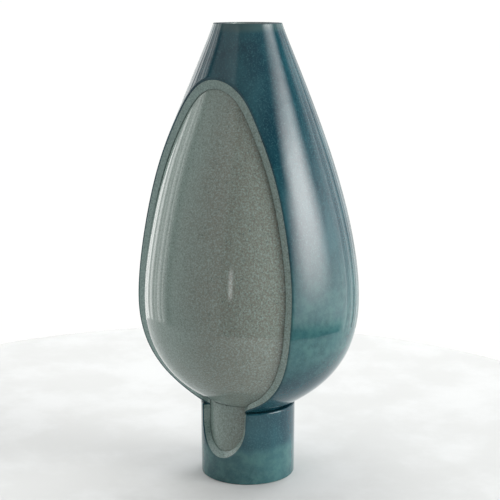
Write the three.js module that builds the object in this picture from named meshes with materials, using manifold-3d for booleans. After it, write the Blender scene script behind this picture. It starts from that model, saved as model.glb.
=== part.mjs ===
// A hand blown art glass vase: a tall egg of nested glass layers on a short round foot.
// The teal outside and the celadon casing under it are cut open on the front, down the egg and
// into the foot, and the celadon inner vessel and foot core stand out of that window.
// Millimetres. The axis of the vase is Z, its base is at z = 0, and the window faces -Y.
import * as THREE from "three";
import { mergeVertices } from "three/addons/utils/BufferGeometryUtils.js";
import Module from "manifold-3d";

const wasm = await Module();
wasm.setup();

// The outside of the egg is two Bezier arcs, mouth to belly and belly to underside.
const HEIGHT = 510;
const MOUTH_RADIUS = 37.5;
const MOUTH_LEAN = THREE.MathUtils.degToRad(17.5); // of the wall at the lip, from vertical
const MOUTH_PULL = 33.8; // length of the Bezier handle at the lip
const SHOULDER_PULL = 114.3;
const BELLY_RADIUS = 125.5;
const BELLY_HEIGHT = 204.2;
const HIP_PULL = 71.1;
const UNDERSIDE_RADIUS = 52.7;
const UNDERSIDE_HEIGHT = 86;
const UNDERSIDE_RISE = THREE.MathUtils.degToRad(31.2); // of the underside, from horizontal
const UNDERSIDE_PULL = 38.8;

// Glass layers, as depths below the outside of the egg, with a small gap where two layers meet.
const GAP = 0.3;
const OVERLAY_DEPTH = 1.2;
const CASING_DEPTH = 8.5;
const VESSEL_DEPTH = 12.8;
const UNDERSIDE_THINNING = 2.5; // the casing is this much thinner at the underside
const UNDERSIDE_THINNING_SPREAD = 35;
const SHOULDER_THINNING = 1.5; // and this much thinner at the window's apex
const SHOULDER_THINNING_HEIGHT = 470;
const SHOULDER_THINNING_SPREAD = 80;

// The foot.
const FOOT_HEIGHT = 83.3;
const FOOT_TOP_RADIUS = 53.9;
const FOOT_BASE_RADIUS = 53.4;
const CORE_RADIUS = 45.3;
const CORE_HEIGHT = 86; // in the middle; its rim rises to meet the vessel
const FLOOR_HEIGHT = 92; // of the inside of the vessel
const SKIRT_LIFT = 1; // the foot's teal skin stops this far above the table

// The window. On the egg its face is ruled: straight across, at this distance in front of the
// axis [distance, height]. On the foot it is a bevelled groove with a round end.
const WINDOW_FACE = [
  [79, 470.5],
  [64.2, 464.1],
  [57, 436],
  [58.1, 388],
  [59.8, 322],
  [62.8, 247],
  [65.7, 192],
  [62.7, 154],
  [56, 123.5],
  [50.4, 107],
  [45.2, 92],
  [40.9, 80],
];
const WINDOW_HALF_WIDTH = 140;
const WINDOW_REACH = 140;
const GROOVE_HALF_WIDTH = 24.5;
const GROOVE_CENTRE_HEIGHT = 66.5; // of the round end
const GROOVE_TOP = 104;
const GROOVE_FLARE = 7; // each side widens by this much at the top
const GROOVE_FLOOR = 38.5; // from the axis
const GROOVE_BEVEL = 17; // 45 degrees, out past the foot's surface
const GROOVE_ASIDE = -1.2; // the middle of its floor, along X
const GROOVE_LEAN = 0.12; // from there the cut leans to +X by this much for each step out

// The blown wall swells a little on each side of the window's upper half.
const SWELL = 2.9;
const SWELL_HEIGHT = 360;
const SWELL_HEIGHT_SPREAD = 70;
const SWELL_ANGLE = THREE.MathUtils.degToRad(53); // from the window's middle, about the axis
const SWELL_ANGLE_SPREAD = THREE.MathUtils.degToRad(35);

const SEGMENTS = 44;
const RINGS_PER_ARC = 8;
const WINDOW_STEPS = 26;
const GROOVE_ARC_STEPS = 9;

const TEAL = { color: 0x3d6a76, roughness: 0.12, metalness: 0 };
const CELADON = { color: 0x74847a, roughness: 0.15, metalness: 0 };

// The egg's outside from the underside up to the lip, as points with their upward tangents.
function eggSections() {
  const lip = new THREE.Vector2(MOUTH_RADIUS, HEIGHT);
  const belly = new THREE.Vector2(BELLY_RADIUS, BELLY_HEIGHT);
  const underside = new THREE.Vector2(UNDERSIDE_RADIUS, UNDERSIDE_HEIGHT);
  const lipHandle = new THREE.Vector2(Math.sin(MOUTH_LEAN), -Math.cos(MOUTH_LEAN));
  const undersideHandle = new THREE.Vector2(Math.cos(UNDERSIDE_RISE), Math.sin(UNDERSIDE_RISE));
  const lower = new THREE.CubicBezierCurve(
    underside,
    underside.clone().addScaledVector(undersideHandle, UNDERSIDE_PULL),
    new THREE.Vector2(BELLY_RADIUS, BELLY_HEIGHT - HIP_PULL),
    belly,
  );
  const upper = new THREE.CubicBezierCurve(
    belly,
    new THREE.Vector2(BELLY_RADIUS, BELLY_HEIGHT + SHOULDER_PULL),
    lip.clone().addScaledVector(lipHandle, MOUTH_PULL),
    lip,
  );
  const sections = [];
  for (let i = 0; i < RINGS_PER_ARC; i++) {
    const t = i / RINGS_PER_ARC;
    sections.push({ point: lower.getPoint(t), tangent: lower.getTangent(t) });
  }
  for (let i = 0; i <= RINGS_PER_ARC; i++) {
    const t = i / RINGS_PER_ARC;
    sections.push({ point: upper.getPoint(t), tangent: upper.getTangent(t) });
  }
  return sections;
}

// How much nearer the outside the inner layers lie, because the casing thins at both its ends.
function thinning(height) {
  return UNDERSIDE_THINNING * bell(height, UNDERSIDE_HEIGHT, UNDERSIDE_THINNING_SPREAD)
    + SHOULDER_THINNING * bell(height, SHOULDER_THINNING_HEIGHT, SHOULDER_THINNING_SPREAD);
}

// The egg's outline at a depth below its outside, bottom to top. The lip is flat, and the
// underside runs on straight to the radius or height where this layer ends.
function layerLine(depth, end) {
  const sections = eggSections();
  const thins = depth > OVERLAY_DEPTH + GAP;
  const line = sections.map(({ point, tangent }) => {
    const inward = new THREE.Vector2(-tangent.y, tangent.x);
    return point.clone().addScaledVector(inward, thins ? depth - thinning(point.y) : depth);
  });
  const top = line[line.length - 1];
  const lipTangent = sections[sections.length - 1].tangent;
  top.addScaledVector(lipTangent, (HEIGHT - top.y) / lipTangent.y);
  const foot = line[0].clone();
  const fall = sections[0].tangent;
  const run = end.radius === undefined
    ? (end.height - foot.y) / fall.y
    : (end.radius - foot.x) / fall.x;
  foot.addScaledVector(fall, run);
  return [foot, ...line];
}

// A solid of revolution. The outline runs up its outside and down its inside.
function revolve(outline) {
  return new THREE.LatheGeometry(outline, SEGMENTS).rotateX(Math.PI / 2);
}

function bell(value, centre, spread) {
  return Math.exp(-(((value - centre) / spread) ** 2));
}

// Moves the wall outward where the blown egg isn't quite round.
function swell(geometry) {
  const position = geometry.getAttribute("position");
  for (let i = 0; i < position.count; i++) {
    const x = position.getX(i);
    const y = position.getY(i);
    const angle = Math.abs(Math.atan2(x, -y));
    const growth = SWELL
      * bell(angle, SWELL_ANGLE, SWELL_ANGLE_SPREAD)
      * bell(position.getZ(i), SWELL_HEIGHT, SWELL_HEIGHT_SPREAD);
    const stretch = 1 + growth / Math.max(Math.hypot(x, y), 1);
    position.setXY(i, x * stretch, y * stretch);
  }
  return geometry;
}

function ring(outline) {
  return revolve([...outline, outline[0].clone()]);
}

function shell(outerDepth, innerDepth, end) {
  return swell(ring([...layerLine(outerDepth, end), ...layerLine(innerDepth, end).reverse()]));
}

function toSolid(geometry) {
  const bare = new THREE.BufferGeometry();
  bare.setAttribute("position", geometry.getAttribute("position"));
  bare.setIndex(geometry.index);
  const merged = mergeVertices(bare);
  return new wasm.Manifold(
    new wasm.Mesh({
      numProp: 3,
      vertProperties: new Float32Array(merged.attributes.position.array),
      triVerts: new Uint32Array(merged.index.array),
    }),
  );
}

function toGeometry(solid) {
  const mesh = solid.getMesh();
  const geometry = new THREE.BufferGeometry();
  geometry.setAttribute("position", new THREE.BufferAttribute(mesh.vertProperties, 3));
  geometry.setIndex(new THREE.BufferAttribute(mesh.triVerts, 1));
  geometry.computeVertexNormals();
  return geometry;
}

function cutBy(geometry, ...cutters) {
  const solid = cutters.reduce((rest, cutter) => rest.subtract(toSolid(cutter)), toSolid(geometry));
  return toGeometry(solid);
}

// Everything in front of the window's ruled face, from the foot to above the window's apex.
function windowCutter() {
  const face = new THREE.SplineCurve(WINDOW_FACE.map(([d, z]) => new THREE.Vector2(d, z)));
  const outline = face.getPoints(WINDOW_STEPS);
  outline.push(new THREE.Vector2(WINDOW_REACH, outline[outline.length - 1].y));
  outline.push(new THREE.Vector2(WINDOW_REACH, outline[0].y));
  const block = new THREE.ExtrudeGeometry(new THREE.Shape(outline), {
    depth: 2 * WINDOW_HALF_WIDTH,
    bevelEnabled: false,
  });
  block.translate(0, 0, -WINDOW_HALF_WIDTH);
  const toFront = new THREE.Matrix4().makeBasis(
    new THREE.Vector3(0, -1, 0),
    new THREE.Vector3(0, 0, 1),
    new THREE.Vector3(-1, 0, 0),
  );
  return block.applyMatrix4(toFront);
}

// The round-ended groove in the foot. It is widest at the surface and bevels in to the core.
function grooveCutter() {
  const groove = new THREE.Shape();
  const middle = (GROOVE_CENTRE_HEIGHT + GROOVE_TOP) / 2;
  const topHalfWidth = GROOVE_HALF_WIDTH + GROOVE_FLARE;
  groove.moveTo(-topHalfWidth, GROOVE_TOP);
  groove.quadraticCurveTo(-GROOVE_HALF_WIDTH, middle, -GROOVE_HALF_WIDTH, GROOVE_CENTRE_HEIGHT);
  groove.absarc(0, GROOVE_CENTRE_HEIGHT, GROOVE_HALF_WIDTH, Math.PI, 2 * Math.PI, false);
  groove.quadraticCurveTo(GROOVE_HALF_WIDTH, middle, topHalfWidth, GROOVE_TOP);
  const block = new THREE.ExtrudeGeometry(groove, {
    depth: GROOVE_BEVEL,
    bevelThickness: GROOVE_BEVEL,
    bevelSize: GROOVE_BEVEL,
    bevelSegments: 1,
    curveSegments: GROOVE_ARC_STEPS,
  });
  block.rotateX(Math.PI / 2);
  block.translate(0, -GROOVE_BEVEL, 0);
  block.applyMatrix4(new THREE.Matrix4().makeShear(0, 0, -GROOVE_LEAN, 0, 0, 0));
  return block.translate(GROOVE_ASIDE, -GROOVE_FLOOR, 0);
}

// The innermost bubble, closed at the bottom and open at the lip.
function innerVessel() {
  const outside = layerLine(CASING_DEPTH + GAP, { height: CORE_HEIGHT + GAP });
  const inside = layerLine(VESSEL_DEPTH, { height: FLOOR_HEIGHT });
  return swell(revolve([
    new THREE.Vector2(0, outside[0].y),
    ...outside,
    ...inside.reverse(),
    new THREE.Vector2(0, FLOOR_HEIGHT),
  ]));
}

function outerCasing() {
  const end = { radius: CORE_RADIUS + 2 * GAP };
  const whole = shell(OVERLAY_DEPTH + GAP, CASING_DEPTH, end);
  return cutBy(whole, windowCutter(), grooveCutter());
}

function tealOverlay() {
  const end = { height: FOOT_HEIGHT + GAP };
  return cutBy(shell(0, OVERLAY_DEPTH, end), windowCutter(), grooveCutter());
}

// The core's top is dished, so that the vessel's underside sits in it.
function footCore() {
  const [seat] = layerLine(CASING_DEPTH, { height: CORE_HEIGHT });
  const [rim] = layerLine(CASING_DEPTH, { radius: CORE_RADIUS });
  return revolve([
    new THREE.Vector2(0, 0),
    new THREE.Vector2(CORE_RADIUS, 0),
    rim,
    seat,
    new THREE.Vector2(0, CORE_HEIGHT),
  ]);
}

function footCasing() {
  const inset = OVERLAY_DEPTH + GAP;
  const top = FOOT_HEIGHT - inset;
  return cutBy(
    ring([
      new THREE.Vector2(CORE_RADIUS + GAP, 0),
      new THREE.Vector2(FOOT_BASE_RADIUS - inset, 0),
      new THREE.Vector2(FOOT_TOP_RADIUS - inset, top),
      new THREE.Vector2(CORE_RADIUS + GAP, top),
    ]),
    grooveCutter(),
  );
}

// The foot's teal skin covers its side and its flat top.
function footOverlay() {
  const under = FOOT_HEIGHT - OVERLAY_DEPTH;
  return cutBy(
    ring([
      new THREE.Vector2(FOOT_BASE_RADIUS - OVERLAY_DEPTH, SKIRT_LIFT),
      new THREE.Vector2(FOOT_BASE_RADIUS, SKIRT_LIFT),
      new THREE.Vector2(FOOT_TOP_RADIUS, FOOT_HEIGHT),
      new THREE.Vector2(CORE_RADIUS + GAP, FOOT_HEIGHT),
      new THREE.Vector2(CORE_RADIUS + GAP, under),
      new THREE.Vector2(FOOT_TOP_RADIUS - OVERLAY_DEPTH, under),
    ]),
    grooveCutter(),
  );
}

function part(name, geometry, look) {
  const mesh = new THREE.Mesh(geometry, new THREE.MeshStandardMaterial(look));
  mesh.name = name;
  return mesh;
}

const egg = new THREE.Group();
egg.add(part("inner_vessel", innerVessel(), CELADON));
egg.add(part("outer_casing", outerCasing(), CELADON));
egg.add(part("teal_overlay", tealOverlay(), TEAL));

const foot = new THREE.Group();
foot.add(part("foot_core", footCore(), CELADON));
foot.add(part("foot_casing", footCasing(), CELADON));
foot.add(part("foot_overlay", footOverlay(), TEAL));

const vase = new THREE.Group();
vase.add(egg, foot);

export default vase;
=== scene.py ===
"""The looks of a hand blown art glass vase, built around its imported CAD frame.

Metres, with the axis of the vase on Z, its base at z = 0 and its window facing -Y. Each glass layer is
a closed shell laid out in rings. The rings stop at the edges of the cut, which makes those edges smooth
and rounded. Angles about the axis are measured from the front, and are positive towards +X.
"""

import math

import bmesh
import bpy
import numpy as np
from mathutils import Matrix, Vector


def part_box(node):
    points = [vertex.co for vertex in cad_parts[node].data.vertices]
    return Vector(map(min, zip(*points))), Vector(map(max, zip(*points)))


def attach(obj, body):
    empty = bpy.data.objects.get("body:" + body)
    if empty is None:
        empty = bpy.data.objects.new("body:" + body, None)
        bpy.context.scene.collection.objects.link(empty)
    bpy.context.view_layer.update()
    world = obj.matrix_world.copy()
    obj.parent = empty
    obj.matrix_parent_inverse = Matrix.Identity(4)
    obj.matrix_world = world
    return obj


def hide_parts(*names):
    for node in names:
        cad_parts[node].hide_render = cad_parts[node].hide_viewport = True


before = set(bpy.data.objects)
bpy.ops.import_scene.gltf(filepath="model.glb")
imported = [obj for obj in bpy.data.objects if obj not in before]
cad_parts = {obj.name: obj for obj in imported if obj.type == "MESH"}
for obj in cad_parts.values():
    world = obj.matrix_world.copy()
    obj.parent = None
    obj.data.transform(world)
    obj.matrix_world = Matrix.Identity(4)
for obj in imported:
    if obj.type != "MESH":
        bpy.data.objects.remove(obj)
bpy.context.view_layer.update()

MM = 0.001

# Sizes that the frame gives.
LIP_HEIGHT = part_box("teal_overlay")[1].z
BELLY_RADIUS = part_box("teal_overlay")[1].x
FOOT_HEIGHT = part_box("foot_overlay")[1].z
FOOT_TOP_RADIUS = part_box("foot_overlay")[1].x
CORE_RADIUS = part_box("foot_core")[1].x
VESSEL_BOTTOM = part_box("inner_vessel")[0].z

# The outside of the egg: two Bezier arcs, underside to belly and belly to lip.
UNDERSIDE = np.array([52.7, 86.0]) * MM
UNDERSIDE_RISE = math.radians(31.2)
UNDERSIDE_PULL = 38.8 * MM
BELLY_HEIGHT = 204.2 * MM
HIP_PULL = 71.1 * MM
SHOULDER_PULL = 114.3 * MM
MOUTH_RADIUS = 37.5 * MM
MOUTH_LEAN = math.radians(17.5)
MOUTH_PULL = 33.8 * MM

# How many points each part of the egg's outline has.
UNDERSIDE_POINTS = 24
LOWER_POINTS = 160
UPPER_POINTS = 320

# Depths of the glass layers below the outside of the egg. The teal skin all but touches the casing.
OVERLAY_DEPTH = 1.45 * MM
CASING_START = 1.5 * MM
CASING_DEPTH = 8.6 * MM
VESSEL_START = 8.8 * MM
VESSEL_DEPTH = 12.8 * MM
SEAM = 0.3 * MM
SKIRT_END = 0.15 * MM  # the foot's skin all but touches the table

# The casing thins at its two ends, which brings the layers inside it nearer the outside.
UNDERSIDE_THINNING = 2.5 * MM
UNDERSIDE_THINNING_SPREAD = 35.0 * MM
SHOULDER_THINNING = 1.5 * MM
SHOULDER_THINNING_HEIGHT = 470.0 * MM
SHOULDER_THINNING_SPREAD = 80.0 * MM

FLOOR_HEIGHT = 92.0 * MM
FOOT_BASE_RADIUS = FOOT_TOP_RADIUS - 0.5 * MM

# The window: a ruled face on the egg [distance in front of the axis, height], and a round-ended
# groove with bevelled sides down the foot.
WINDOW_FACE = np.array([
    [79.0, 470.5],
    [64.2, 464.1],
    [57.0, 436.0],
    [58.1, 388.0],
    [59.8, 322.0],
    [62.8, 247.0],
    [65.7, 192.0],
    [62.7, 154.0],
    [56.0, 123.5],
    [50.4, 107.0],
    [45.2, 92.0],
    [40.9, 80.0],
]) * MM
GROOVE_HALF_WIDTH = 24.5 * MM
GROOVE_CENTRE_HEIGHT = 66.5 * MM
GROOVE_TOP = 104.0 * MM
GROOVE_FLARE = 7.0 * MM
GROOVE_FLOOR = 38.5 * MM
GROOVE_ASIDE = -1.2 * MM  # the middle of its floor, along X
GROOVE_LEAN = 0.12  # from there the cut leans to +X by this much for each step out
CUT_BLEND = 2.0 * MM  # softens the line where the window's face runs into the groove
WINDOW_SPAN_POINTS = 24  # of the smooth curve, between two given points

# The blown wall swells a little on each side of the window's upper half.
SWELL = 2.9 * MM
SWELL_HEIGHT = 360.0 * MM
SWELL_HEIGHT_SPREAD = 70.0 * MM
SWELL_ANGLE = math.radians(53)
SWELL_ANGLE_SPREAD = math.radians(35)

# Rounding of the edges.
FINE_ROUND = 0.15 * MM  # where two layers meet
CUT_ROUND = 0.9 * MM
CREASE_ROUND = 1.4 * MM
LIP_ROUND = 0.7 * MM
CASING_LIP_ROUND = 0.4 * MM
VESSEL_LIP_OUTER_ROUND = 0.4 * MM
VESSEL_LIP_INNER_ROUND = 2.0 * MM
FLOOR_ROUND = 5.0 * MM
CORE_RIM_ROUND = 0.5 * MM
CORE_BASE_ROUND = 1.0 * MM
RIM_ROUND = 1.6 * MM
CASING_BASE_ROUND = 1.0 * MM
SKIRT_ROUND = 0.9 * MM

# How finely the meshes are laid out.
COLUMNS = 128
EGG_ROWS = 150
FOOT_ROWS = 110
END_ROWS = 60
EDGE_STEPS = 5
CORNER_STEPS = 6
RIM_STEPS = 8
TEAL_BAND_STEPS = 2
CASING_BAND_STEPS = 6
FLANGE_POINTS = 19
SKIRT_POINTS = 162
CORE_STEP = 3 * MM
CASING_STEP = 1 * MM
SKIN_STEP = 0.5 * MM
APEX_EASE = 1.6  # rows crowd towards the window's apex by this power
END_EASE = 1.4  # and beyond it by this one
SHARP_ANGLE = math.radians(42)
WELD_DISTANCE = 0.001 * MM

# How finely the window's and the groove's edges are searched for.
LEAN_STEPS = 12
BISECTIONS = 44
APEX_SAMPLES = 6001

# Glass. Colours are linear red, green, blue and alpha.
REFRACTIVE_INDEX = 1.5
TEAL_ROUGHNESS = 0.06
CELADON_ROUGHNESS = 0.08
MATTE = 1.0
TEAL_DEEP = (0.004, 0.035, 0.054, 1)
TEAL_LIGHT = (0.017, 0.080, 0.102, 1)
TEAL_SPECK = (0.040, 0.130, 0.150, 1)
TEAL_VEIL = (0.062, 0.165, 0.165, 1)
TEAL_AT_LIP = (0.048, 0.098, 0.104, 1)
GROUND_LIP = (0.018, 0.038, 0.046, 1)
VESSEL_GREEN = (0.201, 0.262, 0.240, 1)
# painted shade: the darker, warmer colours that the celadon turns to towards +X, standing for a dim
# reflection
VESSEL_REFLECTED_SHADE = (0.192, 0.195, 0.167, 1)
CASING_GREEN = (0.219, 0.304, 0.288, 1)
CASING_REFLECTED_SHADE = (0.210, 0.271, 0.242, 1)
PALE_SPECK = 1.5  # times the celadon's own colour
DARK_PIT = 0.62  # and the same for its dark pits

# Where the teal skin turns thin and cloudy: below the belly and at the lip. The same pale veil is
# painted low on the foot up to a wavy edge. Above that edge the foot stays darker, as a painted dark
# reflection. Each soft edge is given as (low, high), and a wave moves it up and down.
VEIL_BOTTOM = (120 * MM, 170 * MM)
VEIL_TOP = (190 * MM, 310 * MM)
# painted reflection: the foot is pale below this wavy edge and dark above it, standing for a dark
# reflection
FOOT_PAINTED_REFLECTION_EDGE = (38 * MM, 50 * MM)
FOOT_PAINTED_REFLECTION_WAVE = 8 * MM
VEIL_LEAST = 0.36
VEIL_SWING = 0.5
LIP_VEIL = (LIP_HEIGHT + 2 * MM, LIP_HEIGHT + 10 * MM)
LIP_VEIL_WAVE = 24 * MM
LIP_GRIND = (LIP_HEIGHT - 0.7 * MM, LIP_HEIGHT - 0.3 * MM)  # the top is ground matte and dark

# The celadon turns warmer and darker towards +X: painted shade, standing for the dim room's reflection
# on that side.
REFLECTED_SHADE_SIDE = (20 * MM, 90 * MM)
REFLECTED_SHADE_WAVE = 90 * MM

# The photograph's camera, and the round table the vase stands on.
CAMERA_AZIMUTH = math.radians(37)
CAMERA_DISTANCE = 1.4
CAMERA_HEIGHT = 0.546
CAMERA_PITCH = math.radians(11.6)
CAMERA_ASIDE = 0.0025  # the camera aims this far to the right of the axis
CAMERA_LENS = 91.6

TABLE_RADIUS = 0.57
TABLE_SIDES = 180
TABLE_SETBACK = 0.07  # its centre is this far behind the vase, as the camera sees it
TABLE_ASIDE = -0.055
TABLE_THICKNESS = 0.03
TABLE_EDGE_ROUND = 4 * MM
TABLE_EDGE_STEPS = 4
TABLE_ROUGHNESS = 0.85
TABLE_SPECULAR = 0.2
STONE_DULL = (0.565, 0.572, 0.572, 1)
STONE_PALE = (0.615, 0.624, 0.628, 1)

# The light around the vase, in degrees to the right of straight behind the camera (the vase's back
# is lit from 180) and in sines of the height. Each soft edge is given as (low, high).
ROOM_LIGHT = 0.05
WINDOW_WALL_EDGE = (103, 113)
WINDOW_WALL_ASIDE = 6
WINDOW_WALL_LIGHT = 1.15
WINDOW_WALL_SLOPE = -0.0018  # it is brighter on the left
STREAK_SCALE = 0.16
STREAK_EDGE = (0.40, 0.60)
STREAK_LEAST = 0.45
STREAK_SWING = 1.2
PANEL_SIDES = ((46, 68), (76, 101))
PANEL_ENDS = ((-0.25, 0.30), (0.34, 0.70))
PANEL_LIGHT = 11.0
RIGHT_WALL_SIDES = ((34, 50), (104, 128))
RIGHT_WALL_ENDS = ((-0.38, -0.22), (0.05, 0.45))
RIGHT_WALL_LIGHT = 1.8
LEFT_ROOM = ((-100, -85), (-36, -24))
LEFT_ROOM_LIGHT = 0.55
CEILING = (0.45, 0.95)
CEILING_LIGHT = 0.8
BACKDROP_LIGHT = 1.02
LIGHT_COLOUR = (1.0, 1.0, 0.985, 1)


# ---------------------------------------------------------------- outlines, as points [radius, height]


def bell(value, centre, spread):
    """1 at the centre, falling smoothly to 0 on both sides."""
    return np.exp(-(((value - centre) / spread) ** 2))


def bezier(corners, t):
    """Points and unit tangents of a cubic Bezier curve."""
    a, b, c, d = (np.asarray(corner) for corner in corners)
    t = t[:, None]
    s = 1 - t
    points = a * s**3 + 3 * b * s * s * t + 3 * c * s * t * t + d * t**3
    tangents = (b - a) * s * s + 2 * (c - b) * s * t + (d - c) * t * t
    return points, tangents / np.linalg.norm(tangents, axis=1, keepdims=True)


def thinning(height):
    """How much nearer the outside the inner layers are, at a height."""
    underside = UNDERSIDE_THINNING * bell(height, UNDERSIDE[1], UNDERSIDE_THINNING_SPREAD)
    shoulder = SHOULDER_THINNING * bell(height, SHOULDER_THINNING_HEIGHT, SHOULDER_THINNING_SPREAD)
    return underside + shoulder


def egg_line(depth, end_radius=None, end_height=None):
    """The egg's outline at a depth below its outside, from the underside up to the flat lip."""
    belly = np.array([BELLY_RADIUS, BELLY_HEIGHT])
    lip = np.array([MOUTH_RADIUS, LIP_HEIGHT])
    rise = np.array([math.cos(UNDERSIDE_RISE), math.sin(UNDERSIDE_RISE)])
    lower = (UNDERSIDE, UNDERSIDE + rise * UNDERSIDE_PULL, belly - [0, HIP_PULL], belly)
    lean = np.array([math.sin(MOUTH_LEAN), -math.cos(MOUTH_LEAN)])
    upper = (belly, belly + [0, SHOULDER_PULL], lip + lean * MOUTH_PULL, lip)
    lower_points, lower_tangents = bezier(lower, np.linspace(0, 1, LOWER_POINTS)[:-1])
    upper_points, upper_tangents = bezier(upper, np.linspace(0, 1, UPPER_POINTS))
    points = np.vstack([lower_points, upper_points])
    tangents = np.vstack([lower_tangents, upper_tangents])
    inward = np.stack([-tangents[:, 1], tangents[:, 0]], axis=1)
    depths = depth - thinning(points[:, 1:]) if depth > CASING_START else depth
    line = points + inward * depths
    line[-1] += tangents[-1] * (LIP_HEIGHT - line[-1, 1]) / tangents[-1, 1]
    if end_radius is not None:
        run = (end_radius - line[0, 0]) / rise[0]
    else:
        run = (end_height - line[0, 1]) / rise[1]
    steps = np.linspace(1, 0, UNDERSIDE_POINTS)[:-1, None]
    return np.vstack([line[0] + rise * run * steps, line])


def round_corner(line, index, radius, steps=CORNER_STEPS):
    """Replaces the corner at line[index] with a curve that starts this far along each side of it."""
    corner = line[index]
    before, after = line[:index], line[index + 1:]
    before = before[np.linalg.norm(before - corner, axis=1) > radius]
    after = after[np.linalg.norm(after - corner, axis=1) > radius]
    start = corner + (before[-1] - corner) * radius / np.linalg.norm(before[-1] - corner)
    end = corner + (after[0] - corner) * radius / np.linalg.norm(after[0] - corner)
    t = np.linspace(0, 1, steps + 1)[:, None]
    curve = start * (1 - t) ** 2 + 2 * corner * t * (1 - t) + end * t**2
    return np.vstack([before, curve, after])


def densify(line, step):
    """The same line with points at most a step apart."""
    lengths = np.linalg.norm(np.diff(line, axis=0), axis=1)
    pieces = [line[:1]]
    for start, end, length in zip(line[:-1], line[1:], lengths):
        count = max(1, math.ceil(length / step))
        pieces.append(start + (end - start) * np.linspace(0, 1, count + 1)[1:, None])
    return np.vstack(pieces)


def along(line):
    """A function of t, from 0 at the line's start to 1 at its end, by share of its points."""
    shares = np.linspace(0, 1, len(line))

    def at(t):
        radius = np.interp(t, shares, line[:, 0])
        height = np.interp(t, shares, line[:, 1])
        return np.stack([radius, height], axis=-1)

    return at


# ---------------------------------------------------------------- the blown form and the window


def swell(angle, height):
    """How far the wall swells out, at an angle and a height."""
    turned = np.abs(np.arctan2(np.sin(angle), np.cos(angle)))
    around = bell(turned, SWELL_ANGLE, SWELL_ANGLE_SPREAD)
    upright = bell(height, SWELL_HEIGHT, SWELL_HEIGHT_SPREAD)
    return SWELL * around * upright


def place(angle, radius, height):
    """Points in space, with the wall's swelling."""
    full = radius + swell(angle, height)
    return np.stack([full * np.sin(angle), -full * np.cos(angle), height + 0 * full], axis=-1)


def window_curve():
    """The window's ruled face as a smooth curve through its points, by rising height."""
    knots = np.vstack([WINDOW_FACE[:1], WINDOW_FACE, WINDOW_FACE[-1:]])
    t = np.linspace(0, 1, WINDOW_SPAN_POINTS, endpoint=False)[:, None]
    spans = []
    for a, b, c, d in zip(knots[:-3], knots[1:-2], knots[2:-1], knots[3:]):
        squared = 2 * a - 5 * b + 4 * c - d
        cubed = 3 * (b - c) + d - a
        spans.append(b + 0.5 * t * (c - a + t * (squared + t * cubed)))
    return np.vstack([*spans, WINDOW_FACE[-1:]])[::-1]


WINDOW_CURVE = window_curve()


def groove_depth(across, height):
    """How far in front of the axis the groove's surface is."""
    top = np.minimum(height, GROOVE_TOP)
    rise = np.maximum(top - GROOVE_CENTRE_HEIGHT, 0) / (GROOVE_TOP - GROOVE_CENTRE_HEIGHT)
    half_width = GROOVE_HALF_WIDTH + GROOVE_FLARE * rise**2
    bevel = 0 * across
    for _ in range(LEAN_STEPS):
        upright = across - GROOVE_ASIDE - GROOVE_LEAN * bevel
        side = np.abs(upright) - half_width
        below = np.hypot(upright, height - GROOVE_CENTRE_HEIGHT) - GROOVE_HALF_WIDTH
        outside = np.where(height > GROOVE_CENTRE_HEIGHT, side, below)
        bevel = np.maximum(np.maximum(outside, height - GROOVE_TOP), 0)
    return GROOVE_FLOOR + bevel


def groove_middle(radius):
    """The angle about the axis of the leaning groove's middle, at a distance from the axis."""
    angle = 0 * radius
    for _ in range(LEAN_STEPS):
        aside = GROOVE_ASIDE + GROOVE_LEAN * (radius * np.cos(angle) - GROOVE_FLOOR)
        angle = np.arcsin(aside / radius)
    return angle


def window_middle(radius):
    """The window's middle is straight in front of the axis at every distance from it."""
    return 0 * radius


def window_depth(across, height):
    """How far in front of the axis the cut is, where the ruled face and the groove join softly."""
    ruled = np.interp(height, WINDOW_CURVE[:, 1], WINDOW_CURVE[:, 0])
    groove = groove_depth(across, height)
    overlap = np.maximum(CUT_BLEND - np.abs(ruled - groove), 0) / CUT_BLEND
    return np.minimum(ruled, groove) - overlap**2 * CUT_BLEND / 4


# ---------------------------------------------------------------- meshes


class Patchwork:
    """Collects grids of points as faces, and welds them into one closed mesh."""

    def __init__(self):
        self.points = []
        self.faces = []
        self.count = 0

    def add(self, grid):
        """Adds a grid of points, [row, column, coordinate]."""
        rows, columns = grid.shape[:2]
        index = np.arange(rows * columns).reshape(rows, columns) + self.count
        quads = np.stack([index[:-1, :-1], index[:-1, 1:], index[1:, 1:], index[1:, :-1]], axis=-1)
        self.points.append(grid.reshape(-1, 3))
        self.faces.append(quads.reshape(-1, 4))
        self.count += rows * columns

    def build(self, name):
        """Makes the welded, smooth-shaded object."""
        mesh = bpy.data.meshes.new(name)
        mesh.from_pydata(np.vstack(self.points).tolist(), [], np.vstack(self.faces).tolist())
        work = bmesh.new()
        work.from_mesh(mesh)
        bmesh.ops.remove_doubles(work, verts=work.verts, dist=WELD_DISTANCE)
        bmesh.ops.dissolve_degenerate(work, edges=work.edges, dist=WELD_DISTANCE)
        bmesh.ops.recalc_face_normals(work, faces=work.faces)
        work.to_mesh(mesh)
        work.free()
        mesh.shade_smooth()
        mesh.set_sharp_from_angle(angle=SHARP_ANGLE)
        piece = bpy.data.objects.new(name, mesh)
        bpy.context.scene.collection.objects.link(piece)
        return piece


def edge_profile(thickness, outer_round, inner_round, band_steps):
    """The rounded edge of a cut layer, as pairs [depth into the layer, distance back from the cut]."""
    t = np.linspace(0, 1, EDGE_STEPS + 1)
    outer = np.stack([outer_round * t**2, outer_round * (1 - t) ** 2], axis=1)
    inner = np.stack([thickness - inner_round * (1 - t) ** 2, inner_round * t**2], axis=1)
    band = np.linspace(outer_round, thickness - inner_round, band_steps + 1)[1:-1]
    return np.vstack([outer, np.stack([band, 0 * band], axis=1), inner])


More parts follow.
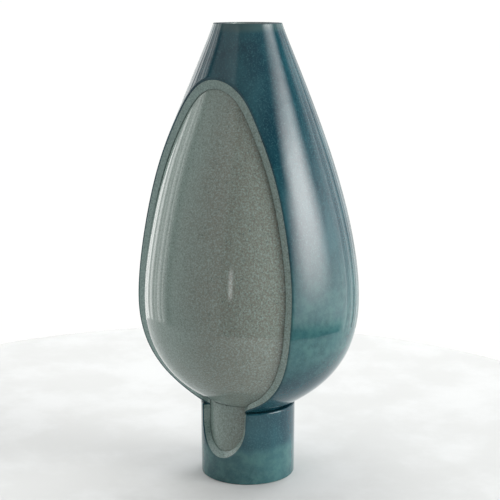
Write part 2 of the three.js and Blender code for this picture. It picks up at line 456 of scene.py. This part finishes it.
def cut_angle(section, setback, cut, middle, side):
    """The angle about the axis at which the wall meets the cut, by bisection out from its middle."""
    radius, height = section[:, 0], section[:, 1]
    low = middle(radius)
    high = np.full(len(section), side * math.pi / 2)
    for _ in range(BISECTIONS):
        between = (low + high) / 2
        full = radius + swell(between, height)
        proud = full * np.cos(between) - cut(full * np.sin(between), height) + setback
        low = np.where(proud > 0, between, low)
        high = np.where(proud > 0, high, between)
    return (low + high) / 2


def open_column(section_at, setback, cut, middle, rows):
    """One line up each side of the window, ending at its apex.

    Gives where the apex is along the section, the section at each row, and the angles of the window's
    right and left sides at each row.
    """
    t = np.linspace(0, 1, APEX_SAMPLES)
    radius, height = section_at(t).T
    centre = middle(radius)
    full = radius + swell(centre, height)
    proud = full * np.cos(centre) - cut(full * np.sin(centre), height) + setback
    last = np.flatnonzero(proud > 0)[-1]
    apex = t[last] + (t[last + 1] - t[last]) * proud[last] / (proud[last] - proud[last + 1])
    shares = 1 - (1 - np.linspace(0, 1, rows + 1)) ** APEX_EASE
    section = section_at(apex * shares)
    right = cut_angle(section, setback, cut, middle, 1)
    left = cut_angle(section, setback, cut, middle, -1)
    right[-1] = left[-1] = middle(section[-1, 0])
    return apex, section, right, left


def cut_shell(name, outer_line, inner_line, edges, cut, middle, rows, end_rounds):
    """A closed shell of revolution with the window or groove cut through it.

    Its lines run from the end that the cut opens to the end that stays whole.
    """
    outer_at, inner_at = along(outer_line), along(inner_line)
    thickness = edges[-1, 0]

    def section_at(depth):
        share = depth / thickness
        return lambda t: outer_at(t) * (1 - share) + inner_at(t) * share

    columns = [open_column(section_at(depth), setback, cut, middle, rows) for depth, setback in edges]
    turn = np.linspace(0, 1, COLUMNS + 1)

    def around(right, left):
        """Angles from the cut's right side, round the back, to its left side."""
        return right[:, None] + (2 * math.pi + left - right)[:, None] * turn

    def wall(column):
        _, section, right, left = column
        return place(around(right, left), section[:, :1], section[:, 1:])

    patches = Patchwork()
    patches.add(wall(columns[0]))
    patches.add(wall(columns[-1]))
    # the cut faces down the right and left sides
    patches.add(np.stack([
        place(right, section[:, 0], section[:, 1])
        for _, section, right, left in columns
    ], axis=1))
    patches.add(np.stack([
        place(left, section[:, 0], section[:, 1])
        for _, section, right, left in columns
    ], axis=1))
    # the open end
    patches.add(np.stack([
        place(around(right[:1], left[:1])[0], section[0, 0], section[0, 1])
        for _, section, right, left in columns
    ]))
    # the whole end, out along the outer line and back along the inner one
    shares = np.linspace(0, 1, END_ROWS + 1) ** END_EASE
    outer_apex, _, outer_right, _ = columns[0]
    inner_apex, _, inner_right, _ = columns[-1]
    out = outer_at(outer_apex + (1 - outer_apex) * shares)
    back = inner_at(inner_apex + (1 - inner_apex) * shares)[::-1]
    whole = round_corner(np.vstack([out, back]), len(out) - 1, end_rounds[0])
    inner_corner = int(np.argmin(np.linalg.norm(whole - back[0], axis=1)))
    whole = round_corner(whole, inner_corner, end_rounds[1])
    start = np.linspace(outer_right[-1], inner_right[-1], len(whole))
    patches.add(place(around(start, start), whole[:, :1], whole[:, 1:]))
    return patches.build(name)


def revolve(name, line):
    """A solid of revolution whose line starts and ends on the axis."""
    patches = Patchwork()
    angles = np.linspace(0, 2 * math.pi, COLUMNS + 1)[None, :]
    patches.add(place(angles, line[:, :1], line[:, 1:]))
    return patches.build(name)


# ---------------------------------------------------------------- the six pieces of glass


def build_teal_overlay():
    edges = edge_profile(OVERLAY_DEPTH, CUT_ROUND, FINE_ROUND, TEAL_BAND_STEPS)
    end = FOOT_HEIGHT + SEAM
    return cut_shell(
        "teal_glass_egg",
        egg_line(0, end_height=end),
        egg_line(OVERLAY_DEPTH, end_height=end),
        edges, window_depth, window_middle, EGG_ROWS, (LIP_ROUND, FINE_ROUND),
    )


def build_outer_casing():
    thickness = CASING_DEPTH - CASING_START
    edges = edge_profile(thickness, FINE_ROUND, CREASE_ROUND, CASING_BAND_STEPS)
    end = CORE_RADIUS + 2 * SEAM
    return cut_shell(
        "celadon_casing_egg",
        egg_line(CASING_START, end_radius=end),
        egg_line(CASING_DEPTH, end_radius=end),
        edges, window_depth, window_middle, EGG_ROWS, (FINE_ROUND, CASING_LIP_ROUND),
    )


def build_inner_vessel():
    outside = egg_line(VESSEL_START, end_height=VESSEL_BOTTOM)
    inside = egg_line(VESSEL_DEPTH, end_height=FLOOR_HEIGHT)[::-1]
    bottom = np.array([[0, outside[0, 1]]])
    floor = np.array([[0, FLOOR_HEIGHT]])
    line = np.vstack([bottom, outside, inside, floor])
    inner_lip = 1 + len(outside)
    line = round_corner(line, inner_lip, VESSEL_LIP_INNER_ROUND)
    line = round_corner(line, inner_lip - 1, VESSEL_LIP_OUTER_ROUND)
    line = round_corner(line, len(line) - 2, FLOOR_ROUND)
    return revolve("celadon_glass_vessel", line)


def build_foot_core():
    """The core's top is dished, so that the vessel's underside sits in it."""
    middle_height = VESSEL_BOTTOM - SEAM
    seat = egg_line(CASING_DEPTH, end_height=middle_height)[0]
    rim = egg_line(CASING_DEPTH, end_radius=CORE_RADIUS)[0]
    corners = np.array([[0, 0], [CORE_RADIUS, 0], rim, seat, [0, middle_height]])
    line = densify(corners, CORE_STEP)
    for corner, size in ((rim, CORE_RIM_ROUND), (corners[1], CORE_BASE_ROUND)):
        index = int(np.argmin(np.linalg.norm(line - corner, axis=1)))
        line = round_corner(line, index, size)
    return revolve("celadon_glass_foot_core", line)


def build_foot_casing():
    top = FOOT_HEIGHT - CASING_START
    inside = CORE_RADIUS + SEAM / 2
    outer = np.array([[FOOT_TOP_RADIUS - CASING_START, top], [FOOT_BASE_RADIUS - CASING_START, 0]])
    inner = np.array([[inside, top], [inside, 0]])
    edges = edge_profile(outer[0, 0] - inside, FINE_ROUND, CREASE_ROUND, CASING_BAND_STEPS)
    return cut_shell(
        "celadon_casing_foot",
        densify(outer, CASING_STEP),
        densify(inner, CASING_STEP),
        edges, groove_depth, groove_middle, FOOT_ROWS, (CASING_BASE_ROUND, FINE_ROUND),
    )


def build_foot_overlay():
    """The foot's skin covers its flat top and its side."""

    def skin(depth):
        inner_end = [CORE_RADIUS + SEAM, FOOT_HEIGHT - depth]
        rim = [FOOT_TOP_RADIUS - depth, FOOT_HEIGHT - depth]
        skirt_end = [FOOT_BASE_RADIUS - depth, SKIRT_END]
        flange = along(densify(np.array([inner_end, rim]), SKIN_STEP))
        skirt = along(densify(np.array([rim, skirt_end]), SKIN_STEP))
        whole = np.vstack([
            flange(np.linspace(0, 1, FLANGE_POINTS)),
            skirt(np.linspace(0, 1, SKIRT_POINTS + 1))[1:],
        ])
        return round_corner(whole, FLANGE_POINTS - 1, RIM_ROUND - depth / 2, RIM_STEPS)

    edges = edge_profile(OVERLAY_DEPTH, CUT_ROUND, FINE_ROUND, TEAL_BAND_STEPS)
    return cut_shell(
        "teal_glass_foot",
        skin(0),
        skin(OVERLAY_DEPTH),
        edges, groove_depth, groove_middle, FOOT_ROWS, (SKIRT_ROUND, FINE_ROUND),
    )


# ---------------------------------------------------------------- materials


def node(tree, kind, inputs=(), **settings):
    """A new node. Its inputs are given by name or number, each as a value or as a socket to link."""
    made = tree.nodes.new(kind)
    for key, value in settings.items():
        setattr(made, key, value)
    for key, value in dict(inputs).items():
        if isinstance(value, bpy.types.NodeSocket):
            tree.links.new(value, made.inputs[key])
        else:
            made.inputs[key].default_value = value
    return made


def colour_mix(tree, factor, first, second):
    inputs = {0: factor, 6: first, 7: second}
    return node(tree, "ShaderNodeMix", inputs, data_type="RGBA").outputs[2]


def calculate(tree, operation, *values):
    inputs = dict(enumerate(values))
    return node(tree, "ShaderNodeMath", inputs, operation=operation).outputs["Value"]


def ramp(tree, value, low, high):
    """0 below low, 1 above high, smooth between."""
    inputs = {"Value": value, "From Min": low, "From Max": high}
    made = node(tree, "ShaderNodeMapRange", inputs, interpolation_type="SMOOTHSTEP")
    return made.outputs["Result"]


def band(tree, value, rise, fall):
    """1 between two soft edges and 0 beyond them, each edge given as (low, high)."""
    falling = calculate(tree, "SUBTRACT", 1.0, ramp(tree, value, *fall))
    return calculate(tree, "MULTIPLY", ramp(tree, value, *rise), falling)


def noise(tree, vector, scale, detail=2.0, roughness=0.5):
    inputs = {"Vector": vector, "Scale": scale, "Detail": detail, "Roughness": roughness}
    return node(tree, "ShaderNodeTexNoise", inputs).outputs["Fac"]


def coordinate(tree, where, axis):
    return node(tree, "ShaderNodeSeparateXYZ", {"Vector": where}).outputs[axis]


def stretched(tree, vector, share):
    """Coordinates squeezed to this share along the axis, so that a pattern runs down the wall."""
    return node(tree, "ShaderNodeMapping", {"Vector": vector, "Scale": (1, 1, share)}).outputs["Vector"]


def bump(tree, shader, height, strength, distance):
    inputs = {"Height": height, "Strength": strength, "Distance": distance}
    made = node(tree, "ShaderNodeBump", inputs)
    tree.links.new(made.outputs["Normal"], shader.inputs["Normal"])


def new_material(name, roughness):
    """A material, with its node tree, its shader and a socket with the place in the object."""
    material = bpy.data.materials.new(name)
    material.use_nodes = True
    tree = material.node_tree
    shader = tree.nodes["Principled BSDF"]
    shader.inputs["Roughness"].default_value = roughness
    shader.inputs["IOR"].default_value = REFRACTIVE_INDEX
    where = node(tree, "ShaderNodeTexCoord").outputs["Object"]
    return material, tree, shader, where


def grind_lip(tree, shader, where, colour, roughness):
    """Makes the lip's flat top matte. Gives back the colour, with the lip's dark top in it."""
    top = ramp(tree, coordinate(tree, where, "Z"), *LIP_GRIND)
    inputs = {"Value": top, "To Min": roughness, "To Max": MATTE}
    matte = node(tree, "ShaderNodeMapRange", inputs)
    tree.links.new(matte.outputs["Result"], shader.inputs["Roughness"])
    return colour_mix(tree, top, colour, GROUND_LIP)


def teal_glass():
    """Mottled and grainy, thin and cloudy below the belly and at the lip, pale low on the foot below a
    painted dark reflection.
    """
    material, tree, shader, where = new_material("teal_overlay_glass", TEAL_ROUGHNESS)
    height = coordinate(tree, where, "Z")

    clouds = noise(tree, stretched(tree, where, 0.4), scale=24, detail=5, roughness=0.6)
    clouds = ramp(tree, clouds, low=0.36, high=0.68)
    colour = colour_mix(tree, clouds, TEAL_DEEP, TEAL_LIGHT)
    grain = noise(tree, where, scale=560, detail=3, roughness=0.7)
    grain = ramp(tree, grain, low=0.46, high=0.80)
    colour = colour_mix(tree, grain, colour, TEAL_SPECK)

    # the cloudy veil below the belly, and low on the foot, where the foot's darker upper part is a
    # painted dark reflection
    below_belly = band(tree, height, VEIL_BOTTOM, VEIL_TOP)
    wave = noise(tree, where, scale=60)
    # painted reflection: below a wavy edge the foot is veiled pale, and above it the foot is left dark
    # as a reflection
    wavy_height = calculate(tree, "MULTIPLY_ADD", wave, FOOT_PAINTED_REFLECTION_WAVE, height)
    foot_below_painted_reflection = calculate(tree, "SUBTRACT", 1.0, ramp(tree, wavy_height, *FOOT_PAINTED_REFLECTION_EDGE))
    patches = noise(tree, where, scale=90, detail=4, roughness=0.65)
    patches = ramp(tree, patches, low=0.35, high=0.70)
    patches = calculate(tree, "MULTIPLY_ADD", patches, VEIL_SWING, VEIL_LEAST)
    veil = calculate(tree, "MULTIPLY", calculate(tree, "ADD", below_belly, foot_below_painted_reflection), patches)
    colour = colour_mix(tree, veil, colour, TEAL_VEIL)

    # the thin skin at the lip, where the casing shows through
    wave = noise(tree, stretched(tree, where, 0.2), scale=30)
    wavy_height = calculate(tree, "MULTIPLY_ADD", wave, LIP_VEIL_WAVE, height)
    colour = colour_mix(tree, ramp(tree, wavy_height, *LIP_VEIL), colour, TEAL_AT_LIP)

    colour = grind_lip(tree, shader, where, colour, TEAL_ROUGHNESS)
    tree.links.new(colour, shader.inputs["Base Color"])
    ripples = noise(tree, where, scale=20, detail=3)
    bump(tree, shader, ripples, strength=0.42, distance=1.0 * MM)
    return material


def celadon_glass(name, green, reflected_shade):
    """Grey-green, with fine pale specks and dark pits. It turns warmer and darker towards +X as painted
    shade for a dim reflection.
    """
    material, tree, shader, where = new_material(name, CELADON_ROUGHNESS)
    pale = tuple(PALE_SPECK * channel for channel in green[:3]) + (1,)
    dark = tuple(DARK_PIT * channel for channel in green[:3]) + (1,)

    # painted shade: towards +X the celadon turns darker and warmer, standing for the dim room's
    # reflection
    across = coordinate(tree, where, "X")
    wave = noise(tree, where, scale=14, detail=3)
    wavy_across = calculate(tree, "MULTIPLY_ADD", wave, REFLECTED_SHADE_WAVE, across)
    colour = colour_mix(tree, ramp(tree, wavy_across, *REFLECTED_SHADE_SIDE), green, reflected_shade)
    specks = noise(tree, where, scale=560, detail=3, roughness=0.75)
    specks = ramp(tree, specks, low=0.38, high=0.72)
    colour = colour_mix(tree, specks, colour, pale)
    pits = noise(tree, where, scale=460, roughness=0.6)
    pits = ramp(tree, pits, low=0.55, high=0.74)
    colour = colour_mix(tree, pits, colour, dark)

    colour = grind_lip(tree, shader, where, colour, CELADON_ROUGHNESS)
    tree.links.new(colour, shader.inputs["Base Color"])
    ripples = noise(tree, where, scale=38)
    bump(tree, shader, ripples, strength=0.08, distance=0.4 * MM)
    return material


def pale_stone():
    """The table's top: almost white, with faint paler clouds."""
    material, tree, shader, where = new_material("pale_table", TABLE_ROUGHNESS)
    shader.inputs["Specular IOR Level"].default_value = TABLE_SPECULAR
    clouds = noise(tree, where, scale=9, detail=5, roughness=0.6)
    clouds = ramp(tree, clouds, low=0.40, high=0.66)
    stone = colour_mix(tree, clouds, STONE_DULL, STONE_PALE)
    tree.links.new(stone, shader.inputs["Base Color"])
    return material


# ---------------------------------------------------------------- the setting


def view_axes():
    """Horizontal directions as the camera sees them: to the right, and away."""
    right = Vector((math.cos(CAMERA_AZIMUTH), math.sin(CAMERA_AZIMUTH), 0))
    away = Vector((-math.sin(CAMERA_AZIMUTH), math.cos(CAMERA_AZIMUTH), 0))
    return right, away


def build_table():
    """A round table top that the vase stands on."""
    right, away = view_axes()
    centre = right * TABLE_ASIDE + away * TABLE_SETBACK
    bpy.ops.mesh.primitive_cylinder_add(
        vertices=TABLE_SIDES, radius=TABLE_RADIUS, depth=TABLE_THICKNESS,
        location=centre - Vector((0, 0, TABLE_THICKNESS / 2)),
    )
    table = bpy.context.object
    table.name = "table_top"
    edge = table.modifiers.new("rounded_edge", "BEVEL")
    edge.width = TABLE_EDGE_ROUND
    edge.segments = TABLE_EDGE_STEPS
    table.data.materials.append(pale_stone())


def build_camera():
    right, away = view_axes()
    camera = bpy.data.objects.new("camera", bpy.data.cameras.new("camera"))
    bpy.context.scene.collection.objects.link(camera)
    camera.location = Vector((0, 0, CAMERA_HEIGHT)) - away * CAMERA_DISTANCE
    aim_height = CAMERA_HEIGHT - CAMERA_DISTANCE * math.tan(CAMERA_PITCH)
    aim = right * CAMERA_ASIDE + Vector((0, 0, aim_height))
    camera.rotation_euler = (aim - camera.location).to_track_quat("-Z", "Y").to_euler()
    camera.data.lens = CAMERA_LENS
    bpy.context.scene.camera = camera


def soft_light(name, turn, height, distance, width, tall, watts):
    """An area light that faces the vase, at an angle to the right of the camera."""
    right, away = view_axes()
    data = bpy.data.lights.new(name, "AREA")
    data.shape = "RECTANGLE"
    data.size = width
    data.size_y = tall
    data.energy = watts
    light = bpy.data.objects.new(name, data)
    bpy.context.scene.collection.objects.link(light)
    angle = math.radians(turn)
    outward = right * math.sin(angle) - away * math.cos(angle)
    light.location = outward * distance + Vector((0, 0, height))
    centre = Vector((0, 0, LIP_HEIGHT / 2))
    light.rotation_euler = (centre - light.location).to_track_quat("-Z", "Y").to_euler()
    light.visible_camera = False


def build_world():
    """Light from all round, while the camera itself sees plain white.

    A bright streaky window wall behind the vase, a tall soft panel and a wall at its right, a pale
    room at its left, a ceiling, and a dim room in front.
    """
    world = bpy.data.worlds.new("studio")
    bpy.context.scene.world = world
    world.use_nodes = True
    tree = world.node_tree
    background = tree.nodes["Background"]
    right, away = view_axes()
    direction = node(tree, "ShaderNodeTexCoord").outputs["Generated"]

    def share_of(axis):
        inputs = {0: direction, 1: tuple(axis)}
        return node(tree, "ShaderNodeVectorMath", inputs, operation="DOT_PRODUCT").outputs["Value"]

    # degrees to the right of straight behind the camera, and the sine of the height
    turn = calculate(tree, "ARCTAN2", share_of(right), share_of(-away))
    turn = calculate(tree, "MULTIPLY", turn, math.degrees(1))
    level = share_of((0, 0, 1))

    inputs = {"W": turn, "Scale": STREAK_SCALE, "Detail": 3.0}
    stripes = node(tree, "ShaderNodeTexNoise", inputs, noise_dimensions="1D").outputs["Fac"]
    stripes = ramp(tree, stripes, *STREAK_EDGE)
    streaks = calculate(tree, "MULTIPLY_ADD", stripes, STREAK_SWING, STREAK_LEAST)
    from_middle = calculate(tree, "ABSOLUTE", calculate(tree, "SUBTRACT", turn, WINDOW_WALL_ASIDE))
    behind = ramp(tree, from_middle, *WINDOW_WALL_EDGE)
    slope = calculate(tree, "MULTIPLY_ADD", turn, WINDOW_WALL_SLOPE, 1.0)
    window_wall = calculate(tree, "MULTIPLY", calculate(tree, "MULTIPLY", behind, slope), streaks)

    def patch(sides, ends):
        return calculate(tree, "MULTIPLY", band(tree, turn, *sides), band(tree, level, *ends))

    light = calculate(tree, "MULTIPLY_ADD", window_wall, WINDOW_WALL_LIGHT, ROOM_LIGHT)
    for share, strength in (
        (patch(PANEL_SIDES, PANEL_ENDS), PANEL_LIGHT),
        (patch(RIGHT_WALL_SIDES, RIGHT_WALL_ENDS), RIGHT_WALL_LIGHT),
        (band(tree, turn, *LEFT_ROOM), LEFT_ROOM_LIGHT),
        (ramp(tree, level, *CEILING), CEILING_LIGHT),
    ):
        light = calculate(tree, "MULTIPLY_ADD", share, strength, light)

    camera_ray = node(tree, "ShaderNodeLightPath").outputs["Is Camera Ray"]
    inputs = {0: camera_ray, 2: light, 3: BACKDROP_LIGHT}
    tree.links.new(node(tree, "ShaderNodeMix", inputs).outputs[0], background.inputs["Strength"])
    background.inputs["Color"].default_value = LIGHT_COLOUR


# ---------------------------------------------------------------- putting it together

teal = teal_glass()
vessel_glass = celadon_glass("celadon_vessel_glass", VESSEL_GREEN, VESSEL_REFLECTED_SHADE)
casing_glass = celadon_glass("celadon_casing_glass", CASING_GREEN, CASING_REFLECTED_SHADE)

pieces = [
    (build_teal_overlay(), "teal_overlay", "teal_overlay_glass", teal),
    (build_outer_casing(), "outer_casing", "celadon_casing_glass", casing_glass),
    (build_inner_vessel(), "inner_vessel", "celadon_vessel_glass", vessel_glass),
    (build_foot_overlay(), "foot_overlay", "teal_overlay_glass", teal),
    (build_foot_casing(), "foot_casing", "celadon_casing_glass", casing_glass),
    (build_foot_core(), "foot_core", "celadon_vessel_glass", vessel_glass),
]
for piece, cad_node, slot, material in pieces:
    piece.data.materials.append(material)
    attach(piece, "root")
    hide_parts(cad_node)

build_table()
build_camera()
build_world()
soft_light("left_strip", turn=-18.6, height=0.28, distance=3.0, width=0.22, tall=0.5, watts=1.2)
soft_light("high_softbox", turn=150, height=2.6, distance=3.2, width=2.0, tall=1.2, watts=60)
bpy.context.scene.view_settings.view_transform = "Standard"
